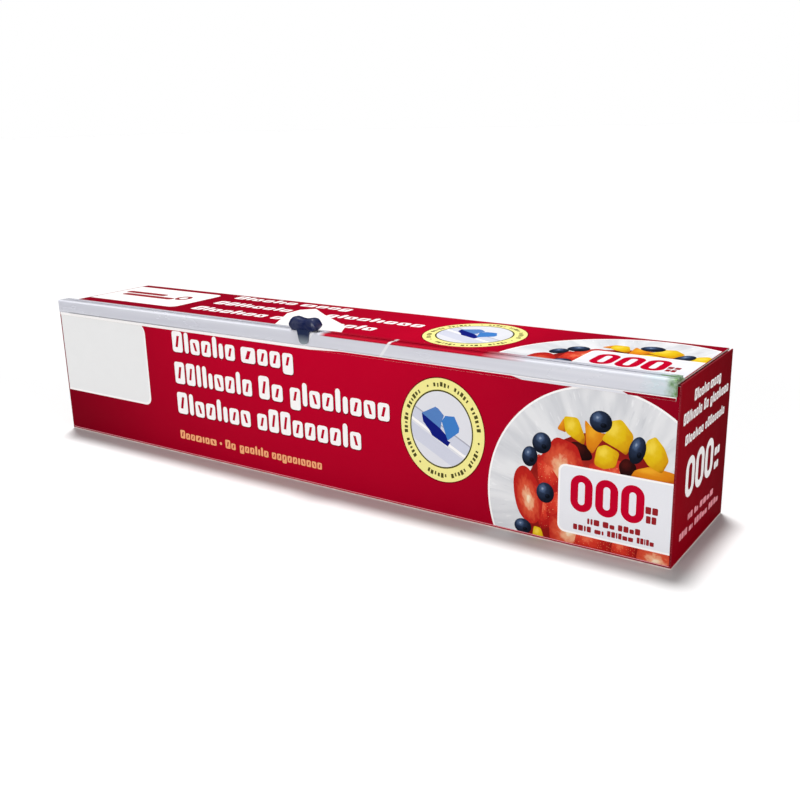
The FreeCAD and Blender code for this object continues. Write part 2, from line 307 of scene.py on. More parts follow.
RED = rgb(190, 0, 40)
PLAIN_INKS = {
    "red": (RED, 0.06),
    "white": (rgb(247, 244, 243), 0.03),
    "label": (rgb(231, 231, 231), 0.03),
    "plate": (rgb(228, 228, 233), 0.03),
    "orange": (rgb(240, 170, 120), 0.05),
    "pink": (rgb(232, 150, 160), 0.05),
    "olive": (rgb(78, 74, 36), 0.1),
    "yellow": (rgb(241, 232, 148), 0.04),
    "dark_red": (rgb(112, 8, 22), 0.08),
    "shadow_red": (rgb(120, 0, 20), 0.05),
    "brown_red": (rgb(150, 34, 40), 0.1),
    "grey_line": (rgb(168, 168, 182), 0.05),
    "disc": (rgb(222, 222, 228), 0.04),
    "blue": (rgb(64, 124, 196), 0.06),
    "blue_top": (rgb(86, 128, 190), 0.08),
    "deep_blue": (rgb(18, 28, 122), 0.1),
    "pale_rail": (rgb(206, 208, 222), 0.05),
}
INK = {ink: printed("ink_" + ink, *settings) for ink, settings in PLAIN_INKS.items()}
RED_FOLD = worn_fold("fold_red", darker(RED, 0.8))
# Shaded copies of the red, with painted light and shade: darker towards the carton's ends and, on
# the front, darker low down. The end panels' red is painted darker still, and darker towards the
# back.
INK["front_red"] = painted_shading_ink("ink_front_red", RED, "X", (
    (-0.150, 0.42), (-0.115, 0.58), (-0.088, 0.74), (-0.045, 0.88), (0.0, 0.92),
    (0.040, 0.90), (0.085, 0.78), (0.120, 0.64), (0.150, 0.46)), (0.84, 1.12))
INK["top_red"] = painted_shading_ink("ink_top_red", RED, "X", (
    (-0.150, 0.48), (-0.060, 0.60), (0.0, 0.78), (0.040, 0.92), (0.070, 0.86),
    (0.100, 0.66), (0.150, 0.48)))
INK["end_red"] = painted_shading_ink("ink_end_red", rgb(144, 0, 20), "Y", ((-0.028, 0.97), (0.028, 0.60)))
INSIDE = raw_board("board_inside", rgb(203, 196, 184))
CUT_EDGE = cut_edge("board_cut_edge", rgb(222, 205, 200), rgb(186, 168, 162))
INKED_EDGE = cut_edge("board_inked_edge", rgb(146, 34, 46), rgb(104, 8, 22))


@material
def picture_ink(maker, stops, light=(-0.3, -0.35), grain=(3.0, 0.25), speck=None):
    """Ink of a printed picture of something round, lit from one side.

    stops are (distance from the light, red, green, blue) in the layer's own coordinates, and
    the grain (scale, amount) breaks the colours up.
    """
    local = maker.node("UVMap", uv_map="art").outputs[0]
    away = maker.node("VectorMath", {0: local, 1: (*light, 0)}, operation="DISTANCE")
    rough = maker.noise(grain[0], 4, place=local)
    shifted = maker.math("MULTIPLY_ADD", maker.math("SUBTRACT", rough, 0.5), grain[1] * 2,
                         away.outputs["Value"])
    colours = [(place, rgb(*screen)) for place, *screen in stops]
    base = maker.ramp(maker.math("DIVIDE", shifted, 1.6), colours)
    if speck is not None:
        base = maker.mix(maker.spots(9.0, 0.10, 0.22, local, 0.75), base, speck)
    shade_ink(maker, base, 0.34)


@material
def film_fold_ink(maker):
    """Printed picture of pleated clear film: pale folds that fan out from the middle."""
    local = maker.node("UVMap", uv_map="art").outputs[0]
    across, down, _ = maker.axes(local)
    angle = maker.math("ARCTAN2", down, across)
    radius = maker.node("VectorMath", {0: local}, operation="LENGTH").outputs["Value"]
    fan = maker.node("CombineXYZ", {0: maker.times(angle, 5.0), 1: maker.times(radius, 1.2)})
    wide = maker.noise(1.3, 2, place=fan.outputs[0], distortion=0.4)
    narrow = maker.noise(5.5, 3, place=fan.outputs[0])
    base = maker.blend(wide, 0.36, 0.62, rgb(204, 205, 209), rgb(224, 224, 226))
    base = maker.blend(narrow, 0.26, 0.38, base, rgb(168, 170, 178), 0.25, 0.0)
    base = maker.blend(narrow, 0.62, 0.76, base, rgb(248, 248, 249), 0.0, 0.55)
    shade_ink(maker, base, 0.34)


INK.update({
    "film": film_fold_ink("picture_film"),
    "gap": picture_ink("picture_gap", ((0.0, 74, 20, 18), (0.6, 38, 12, 12), (1.0, 20, 8, 10))),
    "berry": picture_ink("picture_berry", (
        (0.0, 150, 166, 190), (0.12, 72, 90, 122), (0.36, 36, 46, 68), (0.7, 20, 25, 38),
        (1.0, 12, 14, 22)), grain=(2.5, 0.2)),
    "berry_eye": picture_ink("picture_berry_eye", (
        (0.0, 26, 32, 48), (0.6, 8, 10, 18), (1.0, 6, 8, 14))),
    "berry_shade": picture_ink("picture_berry_shade", (
        (0.0, 176, 44, 34), (0.5, 132, 22, 20), (1.0, 70, 10, 12)), grain=(5.0, 0.5)),
    "berry_red": picture_ink("picture_strawberry", (
        (0.0, 226, 104, 74), (0.22, 206, 56, 40), (0.55, 172, 28, 26), (1.0, 100, 10, 14)),
        grain=(3.5, 0.4), speck=rgb(232, 160, 106)),
    "berry_cut": picture_ink("picture_strawberry_cut", (
        (0.0, 236, 214, 184), (0.14, 228, 164, 126), (0.30, 208, 78, 52), (0.56, 180, 34, 28),
        (1.0, 112, 12, 16)), light=(0.0, 0.12), grain=(4.5, 0.34)),
    "mango": picture_ink("picture_mango", (
        (0.0, 236, 206, 70), (0.4, 220, 182, 24), (0.75, 206, 150, 16), (1.0, 176, 106, 10)),
        grain=(2.6, 0.35)),
    "mango_side": picture_ink("picture_mango_side", (
        (0.0, 232, 164, 40), (0.5, 214, 128, 22), (1.0, 176, 80, 14))),
})

# Plastics, metal, paper core -------------------------------------------

GLINT_LEAN = 0.75           # sideways run of a painted glint on the rail for its rise
GLINT_FEET = (2.2 * MM, 39.0 * MM)
CORE_WINDING = 62.0 * MM     # along the core for one turn of its seam
TAB_BAND = 10.5 * MM         # from the tab's middle to its red bands


@material
def rail_plastic(maker, tint, clear, roughness, details=None):
    """Extruded clear plastic: draw lines and soft streaks along its length, faint scuffs."""
    lines = maker.noise(1100, 3, stretch=(0.004, 1, 1))
    streaks = maker.noise(260, 3, stretch=(0.02, 1, 1))
    scuff = maker.noise(160, 4, stretch=(0.25, 1, 1))
    base = maker.blend(streaks, 0.3, 0.7, darker(tint, 0.90), lighter(tint, 0.25))
    if details is not None:
        base = details(maker, base)
    maker.shade(base_color=base, transmission_weight=clear, ior=1.49,
                roughness=maker.span(scuff, 0.35, 0.7, roughness - 0.05, roughness + 0.10))
    maker.bump((lines, 0.00002, 0.25))


def seen_through_rail(maker, base):
    """What shows through the clear rail: the red lid beside the slide cutter, two painted pale
    glints, the green stop with some sparkle before it, and a painted shadow at the rail's foot."""
    x, _, z = maker.axes()
    top = maker.span(z, RAIL_HIGH.z - 1.0 * MM, RAIL_HIGH.z - 0.7 * MM)
    beside_cutter = maker.times(maker.span(x, 10 * MM, 13 * MM),
                                maker.span(x, 82 * MM, 100 * MM, 1.0, 0.0))
    base = maker.mix(maker.times(top, beside_cutter), base, RED)
    # Two painted pale glints that lean across the rail.
    leaning = maker.math("MULTIPLY_ADD", z, -GLINT_LEAN, x)
    for glint_foot in GLINT_FEET:
        middle = glint_foot - GLINT_LEAN * RAIL_LOW.z
        away = maker.math("ABSOLUTE", maker.math("SUBTRACT", leaning, middle))
        base = maker.blend(away, 0.45 * MM, 0.9 * MM, base, rgb(250, 250, 252), 0.85, 0.0)
    ragged = maker.math("MULTIPLY_ADD", maker.noise(420, 3), 4 * MM, -2 * MM)
    along = maker.math("ADD", x, ragged)
    sparkle = maker.span(along, RAIL_HIGH.x - 12 * MM, RAIL_HIGH.x - 7 * MM, 0.0, 0.6)
    base = maker.mix(maker.times(sparkle, maker.noise(800, 2)), base, rgb(196, 232, 236))
    stop = maker.span(along, RAIL_HIGH.x - 3.6 * MM, RAIL_HIGH.x - 1.4 * MM)
    patches = maker.span(maker.noise(700, 3), 0.35, 0.65, 0.5, 1.0)
    green = maker.mix(maker.noise(900, 2), rgb(34, 96, 30), rgb(150, 196, 120))
    base = maker.mix(maker.times(stop, patches), base, green)
    # Painted shadow at the rail's foot: grey over its lowest 0.75 mm, from near the left end,
    # fading towards the right.
    low = maker.span(z, RAIL_LOW.z + 0.25 * MM, RAIL_LOW.z + 0.75 * MM, 1.0, 0.0)
    from_left = maker.span(x, RAIL_LOW.x + 6 * MM, RAIL_LOW.x + 9 * MM)
    fading = maker.span(x, RAIL_LOW.x + 55 * MM, RAIL_LOW.x + 120 * MM, 1.0, 0.25)
    gap = maker.times(maker.times(low, from_left), fading)
    return maker.mix(maker.times(gap, 0.75), base, rgb(96, 98, 104))


@material
def moulded_plastic(maker, colour, roughness):
    """Glossy moulded plastic with a faint orange peel and handling marks."""
    marks = maker.noise(260, 5, distortion=1.0)
    base = maker.blend(marks, 0.35, 0.75, colour, lighter(colour, 0.06), 0.0, 0.6)
    maker.shade(base_color=base, specular_ior_level=0.25,
                roughness=maker.span(marks, 0.3, 0.75, roughness - 0.06, roughness + 0.10))
    maker.bump((maker.noise(700, 2), 0.00004, 0.35))


@material
def painted_pale_foot_plastic(maker, upper_colour, painted_foot_colour, low, high):
    """The same plastic on the leg, with painted light: it turns pale grey towards its foot."""
    marks = maker.noise(260, 5, distortion=1.0)
    uneven = maker.math("MULTIPLY_ADD", marks, 1.2 * MM, maker.axes()[2])
    maker.shade(base_color=maker.blend(uneven, low, high, painted_foot_colour, upper_colour),
                roughness=maker.span(marks, 0.3, 0.75, 0.32, 0.45))
    maker.bump((marks, 0.00003, 0.35))


@material
def blade_steel(maker):
    """Ground steel: fine scratches across the strip."""
    ground = maker.noise(5200, 3, stretch=(1, 1, 0.05))
    maker.shade(base_color=maker.mix(ground, rgb(176, 178, 182), rgb(214, 216, 220)),
                metallic=1.0, roughness=maker.span(ground, 0.3, 0.7, 0.18, 0.34))
    maker.bump((ground, 0.00001, 0.5))


@material
def core_board(maker):
    """Spiral-wound brown core: a winding seam, ply shading and coarse fibre."""
    x, y, z = maker.axes()
    around = maker.math("ARCTAN2", maker.math("SUBTRACT", z, ROLL_AXIS), y)
    turns = maker.math("MULTIPLY_ADD", x, 1 / CORE_WINDING,
                       maker.math("DIVIDE", around, 2 * math.pi))
    phase = maker.math("FRACT", turns)
    seam = maker.math("LESS_THAN", phase, 0.018)
    fibres = maker.noise(620, 4, distortion=0.8)
    base = maker.blend(fibres, 0.3, 0.7, rgb(150, 118, 84), rgb(186, 156, 118))
    base = maker.mix(maker.times(phase, 0.25), base, rgb(132, 104, 76))
    base = maker.mix(maker.times(seam, 0.75), base, rgb(84, 62, 42))
    maker.shade(base_color=base, roughness=0.88, specular_ior_level=0.2)
    maker.bump((fibres, 0.00008, 0.6), (maker.math("SUBTRACT", 1.0, seam), 0.0001, 0.6))


@material
def wound_film(maker):
    """Cling film wound tight: milky and glossy, with soft bands along it and end rings."""
    bands = maker.noise(46, 3, stretch=(1, 0.05, 0.05))
    creases = maker.noise(160, 4, stretch=(0.25, 1, 1), distortion=1.5)
    _, y, z = maker.axes()
    rise = maker.math("SUBTRACT", z, ROLL_AXIS)
    squares = maker.math("ADD", maker.math("POWER", rise, 2.0), maker.math("POWER", y, 2.0))
    winding = maker.node("CombineXYZ", {0: maker.math("SQRT", squares)}).outputs[0]
    rings = maker.noise(2400, 2, place=winding)
    base = maker.blend(bands, 0.3, 0.7, rgb(206, 214, 218), rgb(232, 238, 240))
    base = maker.blend(rings, 0.35, 0.7, base, rgb(170, 182, 190), 0.0, 0.35)
    maker.shade(base_color=base, transmission_weight=0.25, ior=1.46,
                roughness=maker.span(creases, 0.35, 0.7, 0.08, 0.24),
                coat_weight=0.6, coat_roughness=0.05)
    maker.bump((bands, 0.0004, 0.3), (creases, 0.00012, 0.35), (rings, 0.00006, 0.3))


@material
def hot_melt(maker):
    """Hot-melt glue: waxy, pale amber, slightly lumpy."""
    lumps = maker.noise(380, 3)
    maker.shade(base_color=maker.mix(lumps, rgb(226, 212, 170), rgb(206, 186, 136)),
                roughness=0.42, transmission_weight=0.2)
    maker.bump((lumps, 0.0001, 0.6))


@material
def clear_tape(maker):
    """Double-sided tape: nearly clear, with trapped bubbles."""
    bubbles = maker.spots(700.0, 0.15, 0.3)
    maker.shade(base_color=maker.mix(bubbles, rgb(216, 216, 222), rgb(240, 240, 244)),
                roughness=maker.span(bubbles, 0, 1, 0.35, 0.15), transmission_weight=0.5)
    maker.bump((bubbles, 0.00004, 0.5))


@material
def tab_paper(maker):
    """Starter tab: white paper with two red bands on its upper half."""
    x, _, z = maker.axes()
    band = maker.math("GREATER_THAN", maker.math("ABSOLUTE", x), TAB_BAND)
    upper = maker.math("GREATER_THAN", z, ROLL_AXIS)
    fibres = maker.noise(1500, 3)
    paper = maker.mix(fibres, rgb(226, 224, 216), rgb(246, 245, 240))
    maker.shade(base_color=maker.mix(maker.times(band, upper), paper, RED), roughness=0.6)
    maker.bump((fibres, 0.00003, 0.5))


CLEAR_RAIL = rail_plastic("rail_clear_plastic", rgb(222, 223, 234), 0.15, 0.22, seen_through_rail)
CLEAR_STOP = rail_plastic("stop_clear_plastic", rgb(226, 227, 236), 0.2, 0.3)
GREEN_STOP = rail_plastic("stop_green_plastic", rgb(84, 146, 74), 0.25, 0.24)
NAVY = moulded_plastic("slider_navy_plastic", rgb(9, 22, 66), 0.36)
# Navy for the leg, painted pale grey towards its foot.
NAVY_PAINTED_FOOT = painted_pale_foot_plastic("slider_thin_plastic", rgb(18, 34, 70), rgb(136, 146, 152),
                         GRIP_LOW.z + 1.0 * MM, GRIP_LOW.z + 4.6 * MM)
STEEL = blade_steel("blade_steel")
CORE = core_board("core_board")
FILM = wound_film("wound_film")
GLUE = hot_melt("hot_melt")
TAPE = clear_tape("clear_tape")
TAB = tab_paper("tab_paper")

# Mesh helpers ----------------------------------------------------------


def add_piece(name, mesh, body, slot, *stands_for):
    """Puts a mesh in the scene as a piece on one of the CAD bodies."""
    piece = new_object(name, mesh)
    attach(piece, body)
    if stands_for:
        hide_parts(*stands_for)


def finished_mesh(bm, name, materials):
    """The mesh of finished work, with its materials in slot order."""
    mesh = bpy.data.meshes.new(name)
    bm.to_mesh(mesh)
    bm.free()
    for each in materials:
        mesh.materials.append(each)
    return mesh


def smooth(mesh, degrees=35.0):
    """Smooth shading that stays crisp over edges sharper than the given angle."""
    mesh.polygons.foreach_set("use_smooth", [True] * len(mesh.polygons))
    mesh.set_sharp_from_angle(angle=math.radians(degrees))


def join_rings(bm, first, second):
    """Faces between two closed rings of as many points."""
    faces = []
    for index in range(len(first)):
        after = (index + 1) % len(first)
        faces.append(bm.faces.new((first[index], first[after], second[after], second[index])))
    return faces


# Folded board panels ---------------------------------------------------


TOUCHING = 0.001 * MM
FLAT = 0.99                  # cosine beyond which a face counts as facing one way


def axis_extreme(bm, direction):
    return max(vert.co.dot(direction) for vert in bm.verts)


def on_side(edge, direction, reach):
    return all(abs(vert.co.dot(direction) - reach) < TOUCHING for vert in edge.verts)


def board_panel(node, body, out, folds=(), face="red", edge=CUT_EDGE):
    """A panel or flap with its folded edges rounded over and its cut edges just eased.

    out is the printed side's direction; folds are the directions of the folded edges.
    """
    out = Vector(out)
    folds = [Vector(fold) for fold in folds]
    bm = bmesh.new()
    bm.from_mesh(NODES[node].data)
    bmesh.ops.remove_doubles(bm, verts=bm.verts, dist=TOUCHING)
    bmesh.ops.dissolve_limit(bm, angle_limit=0.01, verts=bm.verts, edges=bm.edges)
    out_reach = axis_extreme(bm, out)
    fold_edges = set()
    for fold in folds:
        reach = axis_extreme(bm, fold)
        fold_edges.update(line for line in bm.edges
                          if on_side(line, out, out_reach) and on_side(line, fold, reach))
    cut_edges = [line for line in bm.edges if line not in fold_edges]
    bmesh.ops.bevel(bm, geom=cut_edges, offset=EDGE_EASE * MM, segments=1, affect="EDGES",
                    clamp_overlap=True)
    fold_edges = [line for line in fold_edges if line.is_valid]
    if fold_edges:
        bmesh.ops.bevel(bm, geom=fold_edges, offset=FOLD_RADIUS * MM, segments=4, profile=0.5,
                        affect="EDGES", clamp_overlap=True)
    bmesh.ops.recalc_face_normals(bm, faces=bm.faces)
    for polygon in bm.faces:
        polygon.material_index = panel_slot(polygon.normal, out, folds)
    mesh = finished_mesh(bm, node + "_board", (INK[face], RED_FOLD, INSIDE, edge))
    smooth(mesh)
    add_piece(node + "_board", mesh, body, "printed_board", node)


def panel_slot(normal, out, folds):
    """Which material a face of a panel has: 0 print, 1 fold, 2 inside, 3 cut edge."""
    facing = normal.dot(out)
    if facing > FLAT:
        return 0
    if facing < -FLAT:
        return 2
    if facing > 0.02 and any(normal.dot(fold) > 0.05 for fold in folds):
        return 1
    return 3


LEFTWARD, RIGHTWARD = (-1, 0, 0), (1, 0, 0)
FORWARD, BACKWARD = (0, -1, 0), (0, 1, 0)
UPWARD, DOWNWARD = (0, 0, 1), (0, 0, -1)


def make_carton():
    """Every panel and flap, with the way its print faces and the sides where it is folded."""
    ends = (LEFTWARD, RIGHTWARD)
    board_panel("base_panel", "tray", DOWNWARD, (FORWARD, BACKWARD, *ends))
    board_panel("front_panel", "tray", FORWARD, (DOWNWARD, UPWARD, *ends), "front_red")
    board_panel("back_panel", "tray", BACKWARD, (DOWNWARD, UPWARD, *ends))
    board_panel("front_inner_flap", "tray", BACKWARD, (UPWARD,))
    board_panel("lid_panel", "lid", UPWARD, (FORWARD, *ends), "top_red")
    board_panel("lid_front_lip", "lid", FORWARD, (), "white")
    for side, outward in (("left", LEFTWARD), ("right", RIGHTWARD)):
        board_panel(side + "_end_panel", "tray", outward, (DOWNWARD,), "end_red", INKED_EDGE)
        board_panel(side + "_front_dust_flap", "tray", outward, (FORWARD,))
        board_panel(side + "_back_dust_flap", "tray", outward, (BACKWARD,))
        board_panel(side + "_ear", side + "_ear", outward, (UPWARD,))


make_carton()

# Flat artwork ----------------------------------------------------------

Layer = namedtuple("Layer", "ink outline centre reach turn",
                   defaults=((0.0, 0.0), (100.0, 100.0), 0.0))


class Side:
    """One flat side of the carton, seen from outside: u runs right and v runs down, in mm."""

    def __init__(self, corner, right, down):
        self.corner = Vector(corner)
        self.right = Vector(right)
        self.down = Vector(down)
        self.out = self.right.cross(-self.down)

    def point(self, u, v, lift):
        """Place of (u, v), lifted off the side."""
        return self.corner + (self.right * u + self.down * v + self.out * lift) * MM


class FoldedSide(Side):
    """A side whose left and right ends roll over a fold, just inside the end panels."""

    def point(self, u, v, lift):
        from_end = min(u, LENGTH - u) - BOARD
        if from_end >= FOLD_RADIUS:
            return super().point(u, v, lift)
        across = 1 - max(from_end, 0.0) / FOLD_RADIUS
        outward = (FOLD_RADIUS + lift) * across
        rise = (FOLD_RADIUS + lift) * math.sqrt(1 - across ** 2) - FOLD_RADIUS
        middle = BOARD + FOLD_RADIUS
        if u < LENGTH / 2:
            return super().point(middle - outward, v, rise)
        return super().point(LENGTH - middle + outward, v, rise)


FRONT = FoldedSide((CARTON_LOW.x, CARTON_LOW.y, CARTON_HIGH.z), RIGHTWARD, DOWNWARD)
BACK = Side((CARTON_HIGH.x, CARTON_HIGH.y, CARTON_HIGH.z), LEFTWARD, DOWNWARD)
TOP = Side((CARTON_LOW.x, CARTON_HIGH.y, CARTON_HIGH.z), RIGHTWARD, FORWARD)
RIGHT = Side((CARTON_HIGH.x, CARTON_LOW.y, CARTON_HIGH.z), BACKWARD, DOWNWARD)
LEFT = Side((CARTON_LOW.x, CARTON_HIGH.y, CARTON_HIGH.z), FORWARD, DOWNWARD)
FOLD_STEPS = 4
FOLD_LINES = [BOARD + FOLD_RADIUS * step / FOLD_STEPS for step in range(FOLD_STEPS + 1)]
FOLD_LINES += [LENGTH - line for line in FOLD_LINES]


def oval(ink, u, v, half_u, half_v, turn=0.0, points=40, wobble=0.0, phase=0.0):
    """An ellipse, or with wobble a slightly lumpy round outline."""
    angle = math.radians(turn)
    outline = []
    for step in range(points):
        t = 2 * math.pi * step / points
        grow = 1 + wobble * (math.sin(3 * t + phase) + 0.6 * math.sin(5 * t + 2.3 * phase))
        across = half_u * grow * math.cos(t)
        down = half_v * grow * math.sin(t)
        outline.append((u + across * math.cos(angle) - down * math.sin(angle),
                        v + across * math.sin(angle) + down * math.cos(angle)))
    return Layer(ink, outline, (u, v), (half_u, half_v), angle)


def rounded(ink, u0, v0, u1, v1, radii=0.0, steps=5):
    """A rectangle with one corner radius, or four: top left, top right, low right, low left."""
    if not isinstance(radii, tuple):
        radii = (radii,) * 4
    outline = []
    corners = ((u0, v0, 180), (u1, v0, 270), (u1, v1, 0), (u0, v1, 90))
    largest = 0.49 * min(u1 - u0, v1 - v0)
    for (u, v, start), radius in zip(corners, radii):
        radius = min(radius, largest)
        if radius <= 0:
            outline.append((u, v))
            continue
        mid_u = u + (radius if u == u0 else -radius)
        mid_v = v + (radius if v == v0 else -radius)
        for step in range(steps + 1):
            t = math.radians(start + 90 * step / steps)
            outline.append((mid_u + radius * math.cos(t), mid_v + radius * math.sin(t)))
    return Layer(ink, outline)


def extent(points):
    """Lowest and highest u, then lowest and highest v."""
    us, vs = zip(*points)
    return min(us), max(us), min(vs), max(vs)


CORNER_EASE = 0.22           # share of each side taken up by a rounded corner


def chunk(ink, points, light_reach=1.0):
    """A cut piece of fruit: a polygon whose corners are rounded off."""
    outline = []
    for before, corner, after in zip(points[-1:] + points, points, points[1:] + points[:1]):
        start = [at + (to - at) * CORNER_EASE for at, to in zip(corner, before)]
        end = [at + (to - at) * CORNER_EASE for at, to in zip(corner, after)]
        for step in range(4):
            t = step / 3
            outline.append(tuple((1 - t) ** 2 * a + 2 * t * (1 - t) * b + t * t * c
                                 for a, b, c in zip(start, corner, end)))
    left, right, top, low = extent(points)
    reach = ((right - left) / 2 * light_reach, (low - top) / 2 * light_reach)
    return Layer(ink, outline, ((left + right) / 2, (top + low) / 2), reach)


SMALLEST_AREA = 0.05


def cut_outline(outline, axis, limit, keep_below):
    """The part of an outline on one side of a straight line across one axis."""
    def inside(point):
        return point[axis] <= limit if keep_below else point[axis] >= limit

    result = []
    for before, point in zip(outline[-1:] + outline[:-1], outline):
        if inside(before) != inside(point):
            share = (limit - before[axis]) / (point[axis] - before[axis])
            crossing = [a + (b - a) * share for a, b in zip(before, point)]
            crossing[axis] = limit
            result.append(tuple(crossing))
        if inside(point):
            result.append(point)
    return result


def clip(layers, u_range, v_range):
    """Cuts layers off straight at the given limits."""
    kept = []
    for layer in layers:
        outline = layer.outline
        for axis, (low, high) in enumerate((u_range, v_range)):
            outline = cut_outline(outline, axis, low, False)
            outline = cut_outline(outline, axis, high, True)
        if len(outline) > 2 and area_of(outline) > SMALLEST_AREA:
            kept.append(layer._replace(outline=outline))
    return kept


def area_of(outline):
    total = 0.0
    for (u0, v0), (u1, v1) in zip(outline, outline[1:] + outline[:1]):
        total += u0 * v1 - u1 * v0
    return abs(total) / 2


def moved(layers, move_u, move_v, scale_u=1.0, scale_v=1.0):
    """The same layers scaled about (0, 0) and then moved."""
    result = []
    for layer in layers:
        outline = [(u * scale_u + move_u, v * scale_v + move_v) for u, v in layer.outline]
        centre = (layer.centre[0] * scale_u + move_u, layer.centre[1] * scale_v + move_v)
        reach = (layer.reach[0] * scale_u, layer.reach[1] * scale_v)
        result.append(layer._replace(outline=outline, centre=centre, reach=reach))
    return result


def local_place(layer, u, v):
    """(u, v) in the layer's own coordinates, about -1 to 1 across its shape."""
    across = u - layer.centre[0]
    down = v - layer.centre[1]
    cosine = math.cos(layer.turn)
    sine = math.sin(layer.turn)
    return ((across * cosine + down * sine) / layer.reach[0],
            (down * cosine - across * sine) / layer.reach[1])


def fold_cuts(layers):
    """Lines across all the layers where a folded side bends, each as two points."""
    left, right, top, low = extent([point for layer in layers for point in layer.outline])
    return [(Vector((line, top)), Vector((line, low))) for line in FOLD_LINES
            if left < line < right]


def artwork(name, side, body, layers):
    """One printed piece: layers of ink cut into triangles, where the last layer wins."""
    spots = []
    faces = []
    for layer in layers:
        faces.append(list(range(len(spots), len(spots) + len(layer.outline))))
        spots.extend(Vector(point) for point in layer.outline)
    edges = []
    if isinstance(side, FoldedSide):
        for cut in fold_cuts(layers):
            edges.append((len(spots), len(spots) + 1))
            spots += cut
    points, _, triangles, _, _, sources = delaunay_2d_cdt(spots, edges, faces, 1, 1e-5)
    bm = bmesh.new()
    verts = [bm.verts.new(side.point(point.x, point.y, INK_LIFT)) for point in points]
    uv = bm.loops.layers.uv.new("art")
    inks = []
    for corners, from_faces in zip(triangles, sources):
        layer = layers[max(from_faces)] if from_faces else None
        if layer is None or layer.ink is None:
            continue
        if layer.ink not in inks:
            inks.append(layer.ink)
        triangle = bm.faces.new([verts[index] for index in corners])
        triangle.material_index = inks.index(layer.ink)
        for loop, index in zip(triangle.loops, corners):
            loop[uv].uv = local_place(layer, points[index].x, points[index].y)
    for triangle in bm.faces:
        triangle.normal_update()
        if triangle.normal.dot(side.out) < 0:
            triangle.normal_flip()
    loose = [vert for vert in bm.verts if not vert.link_faces]
    bmesh.ops.delete(bm, geom=loose, context="VERTS")
    mesh = finished_mesh(bm, name, [INK[ink] for ink in inks])
    add_piece(name, mesh, body, "printed_board")


# Stand-in lines of print: rows of blocks with the rhythm of words, and no letters ---------

Block = namedtuple("Block", "width rise drop counter")
BLOCKS = {
    "T": Block(1.15, 1.0, 0.0, True),
    "l": Block(0.45, 1.0, 0.0, False),
    "x": Block(1.00, 0.72, 0.0, True),
    "i": Block(0.45, 0.72, 0.0, False),
    "m": Block(1.45, 0.72, 0.0, True),
    "p": Block(1.00, 0.72, 0.22, True),
    "h": Block(1.00, 1.0, 0.0, True),
}
BLOCK_GAP = 0.22
OPEN_BLOCK_HEIGHT = 3.0      # lower blocks are too small for a counter


def word(ink, pattern, u0, u1, cap, base):
    """Blocks of varied width and height between u0 and u1, standing on the base line."""
    blocks = [BLOCKS[kind] for kind in pattern]
    units = sum(block.width for block in blocks) + BLOCK_GAP * (len(blocks) - 1)
    unit = (u1 - u0) / units
    tall = base - cap
    corner = min(0.22 * unit, 0.2 * tall)
    layers = []
    u = u0
    for block in blocks:
        top = base - block.rise * tall
        wide = block.width * unit
        layers.append(rounded(ink, u, top, u + wide, base + block.drop * tall, corner, 2))
        if block.counter and tall > OPEN_BLOCK_HEIGHT:     # a slanted opening
            middle = u + wide / 2
            half = 0.12 * wide
            slant = half * (0.8 if len(layers) % 4 else -0.8)
            high = top + 0.22 * (base - top)
            deep = top + 0.76 * (base - top)
            layers.append(Layer(None, [
                (middle - half + slant, high), (middle + half + slant, high),
                (middle + half - slant, deep), (middle - half - slant, deep)]))
        u += (block.width + BLOCK_GAP) * unit
    return layers


def words(ink, *rows, origin=(0.0, 0.0), scale=(1.0, 1.0)):
    """Lines of stand-in words: each row is top, base and then (pattern, start, end) words."""
    layers = []
    for top, base, *spans in rows:
        cap, foot = (origin[1] + level * scale[1] for level in (top, base))
        for pattern, *ends in spans:
            u0, u1 = (origin[0] + end * scale[0] for end in ends)
            layers += word(ink, pattern, u0, u1, cap, foot)
    return layers


def shadowed(layers):
    """The same layers with a darker copy printed behind, a little lower."""
    behind = [layer._replace(ink="shadow_red") for layer in layers if layer.ink is not None]
    return moved(behind, -0.15, 0.40) + moved(behind, 0.30, 0.40) + layers


def numeral_rings(ink, ground, u0, u1, top, low, stroke):
    """Three bold rings where a quantity is printed, an eighth of a ring apart."""
    width = (u1 - u0) / 3.25
    half = width / 2
    line = width * stroke
    layers = []
    for index in range(3):
        left = u0 + index * (u1 - u0 - width) / 2
        layers.append(rounded(ink, left, top, left + width, low, half * 0.98, 7))
        layers.append(rounded(ground, left + line, top + line * 0.9, left + width - line,
                              low - line * 0.9, (half - line) * 0.98, 7))
    return layers


# Pictures --------------------------------------------------------------


BADGE_MARKS = 66
BADGE_GROUP = BADGE_MARKS // 3
BADGE_GAPS = (0, 2, 8, 14, BADGE_GROUP - 1)


def roundel(u, v, half_u, half_v):
    """Round badge: a pale ring with tick marks about a picture of a slide cutter."""
    def on_badge(angle, share):
        return u + half_u * share * math.cos(angle), v + half_v * share * math.sin(angle)

    layers = [
        oval("dark_red", u, v, half_u, half_v, points=72),
        oval("yellow", u, v, half_u * 0.978, half_v * 0.978, points=72),
    ]
    for index in range(BADGE_MARKS):
        angle = 2 * math.pi * (index + 0.5) / BADGE_MARKS
        place = index % BADGE_GROUP
        if place == 1:
            layers.append(oval("olive", *on_badge(angle, 0.86), 0.42, 0.46, points=10))
        elif place not in BADGE_GAPS:
            wide = 0.020 + 0.008 * ((index * 5) % 3)
            inner = 0.815 + 0.010 * ((index * 7) % 2)
            outer = 0.885 + 0.022 * ((index * 11) % 3) / 2
            layers.append(Layer("olive", [
                on_badge(angle - wide, inner), on_badge(angle - wide, outer),
                on_badge(angle + wide, outer), on_badge(angle + wide, inner)]))
    middle = (u - 0.3, v - 0.4)
    layers.append(oval("olive", *middle, half_u * 0.742, half_v * 0.742, points=64))
    layers.append(oval("disc", *middle, half_u * 0.712, half_v * 0.712, points=64))
    return layers + cutter_picture(*middle, half_u * 0.712, half_v * 0.712)


